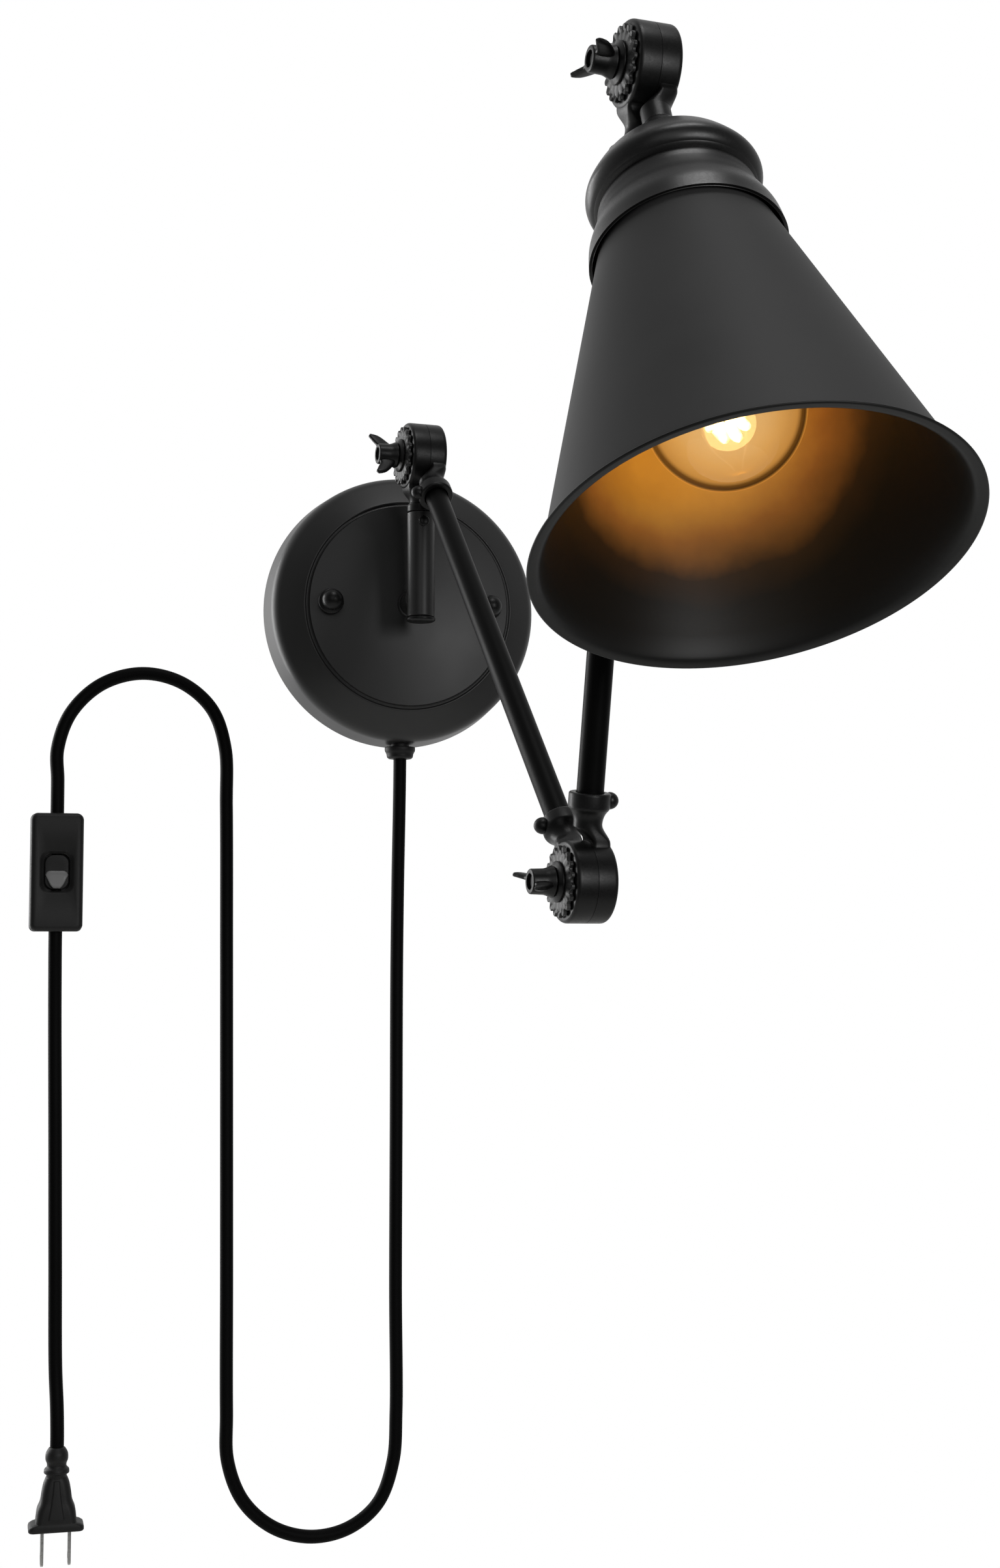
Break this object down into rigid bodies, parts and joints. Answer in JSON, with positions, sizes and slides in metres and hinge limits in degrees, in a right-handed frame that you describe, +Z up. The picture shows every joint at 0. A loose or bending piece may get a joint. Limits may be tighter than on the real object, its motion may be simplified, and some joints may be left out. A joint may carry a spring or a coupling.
{
  "type": "swing arm wall sconce",
  "caption": "Black swing arm wall lamp with a cone shade, clamped knuckle joints, a round wall plate and a plug-in cord with an inline switch.",
  "frame": {"origin": "middle of the mounting bracket's back face, on the wall plane", "axes": "+Z up, +Y into the wall, +X to the right for someone facing the wall; the lamp stands out along -Y"},
  "size_m": [0.2911, 0.4846, 0.6303],
  "materials": {
    "black_paint": "satin black powder coat",
    "black_casting": "satin black paint on castings",
    "black_plastic": "matte moulded",
    "cord_pvc": "matte black sheath",
    "rocker_grey": "semi gloss",
    "zinc_steel": "zinc plated",
    "brass": "plated",
    "clear_glass": "clear",
    "filament_glow": "lit wire"
  },
  "bodies": {
    "wall_mount": {"wall_plate": "black_paint", "mounting_bracket": "zinc_steel", "stud_left": "zinc_steel", "stud_right": "zinc_steel", "post": "black_paint", "post_end_cap": "black_casting", "post_set_screw": "black_casting", "plate_nipple": "zinc_steel", "nipple_nut": "zinc_steel", "cord_gland": "black_plastic", "cord_to_switch": "cord_pvc", "cord_to_plug": "cord_pvc", "switch_base": "black_plastic", "switch_cover": "black_plastic", "plug_boot": "black_plastic", "plug_body": "black_plastic", "plug_blade_left": "zinc_steel", "plug_blade_right": "zinc_steel"},
    "swing_post": {"shoulder_left_half": "black_casting", "shoulder_toothed_washer": "black_casting", "shoulder_cone_washer": "black_casting"},
    "lower_arm": {"shoulder_right_half": "black_casting", "shoulder_bolt": "black_casting", "lower_arm_tube": "black_paint", "lower_arm_near_socket_screw": "black_casting", "lower_arm_far_socket_screw": "black_casting", "elbow_left_half": "black_casting", "elbow_toothed_washer": "black_casting", "elbow_cone_washer": "black_casting"},
    "upper_arm": {"elbow_right_half": "black_casting", "elbow_bolt": "black_casting", "upper_arm_tube": "black_paint", "upper_arm_near_socket_screw": "black_casting", "upper_arm_far_socket_screw": "black_casting", "head_left_half": "black_casting", "head_toothed_washer": "black_casting", "head_cone_washer": "black_casting"},
    "lamp_head": {"head_right_half": "black_casting", "head_bolt": "black_casting", "shade_cap": "black_casting", "shade_collar": "black_casting", "shade": "black_paint", "head_nipple": "zinc_steel", "head_nipple_nut": "zinc_steel", "lamp_holder": "black_plastic", "shade_spacer": "black_plastic", "shade_ring": "black_plastic", "screw_shell": "brass", "centre_contact": "brass"},
    "bulb": {"bulb_base": "brass", "bulb_glass": "clear_glass", "bulb_filament": "filament_glow"},
    "shoulder_wing": {"shoulder_wing_nut": "black_casting"},
    "elbow_wing": {"elbow_wing_nut": "black_casting"},
    "head_wing": {"head_wing_nut": "black_casting"},
    "rocker": {"rocker": "rocker_grey"},
    "left_cap_nut": {"cap_nut_left": "black_casting"},
    "right_cap_nut": {"cap_nut_right": "black_casting"}
  },
  "joints": [
    {"name": "post_swivel", "type": "hinge", "parent": "wall_mount", "child": "swing_post", "pos_m": [0, -0.06, 0.0687], "axis": [0, 0, 1], "range_deg": [-75, 75]},
    {"name": "shoulder_tilt", "type": "hinge", "parent": "swing_post", "child": "lower_arm", "pos_m": [0, -0.06, 0.0687], "axis": [-0.9952, -0.0976, 0], "range_deg": [-8, 65]},
    {"name": "elbow_tilt", "type": "hinge", "parent": "lower_arm", "child": "upper_arm", "pos_m": [0.02038, -0.26787, -0.14385], "axis": [0.9952, 0.0976, 0], "range_deg": [-18, 123]},
    {"name": "shade_tilt", "type": "hinge", "parent": "upper_arm", "child": "lamp_head", "pos_m": [0.0265, -0.33026, 0.15362], "axis": [-0.9952, -0.0976, 0], "range_deg": [-1, 155]},
    {"name": "shoulder_wing_turn", "type": "hinge", "parent": "lower_arm", "child": "shoulder_wing", "pos_m": [0, -0.06, 0.0687], "axis": [-0.9952, -0.0976, 0], "range_deg": [0, 360]},
    {"name": "elbow_wing_turn", "type": "hinge", "parent": "upper_arm", "child": "elbow_wing", "pos_m": [0.02038, -0.26787, -0.14385], "axis": [-0.9952, -0.0976, 0], "range_deg": [0, 360]},
    {"name": "head_wing_turn", "type": "hinge", "parent": "lamp_head", "child": "head_wing", "pos_m": [0.0265, -0.33026, 0.15362], "axis": [-0.9952, -0.0976, 0], "range_deg": [0, 360]},
    {"name": "bulb_turn", "type": "hinge", "parent": "lamp_head", "child": "bulb", "pos_m": [0.03047, -0.37074, 0.06226], "axis": [0.0397, -0.4048, -0.9135], "range_deg": [0, 360]},
    {"name": "rocker_press", "type": "hinge", "parent": "wall_mount", "child": "rocker", "pos_m": [-0.169, -0.0132, -0.1335], "axis": [1, 0, 0], "range_deg": [-14, 0]},
    {"name": "left_cap_nut_turn", "type": "hinge", "parent": "wall_mount", "child": "left_cap_nut", "pos_m": [-0.04, -0.036, 0], "axis": [0, -1, 0], "range_deg": [0, 360]},
    {"name": "right_cap_nut_turn", "type": "hinge", "parent": "wall_mount", "child": "right_cap_nut", "pos_m": [0.04, -0.036, 0], "axis": [0, -1, 0], "range_deg": [0, 360]}
  ]
}
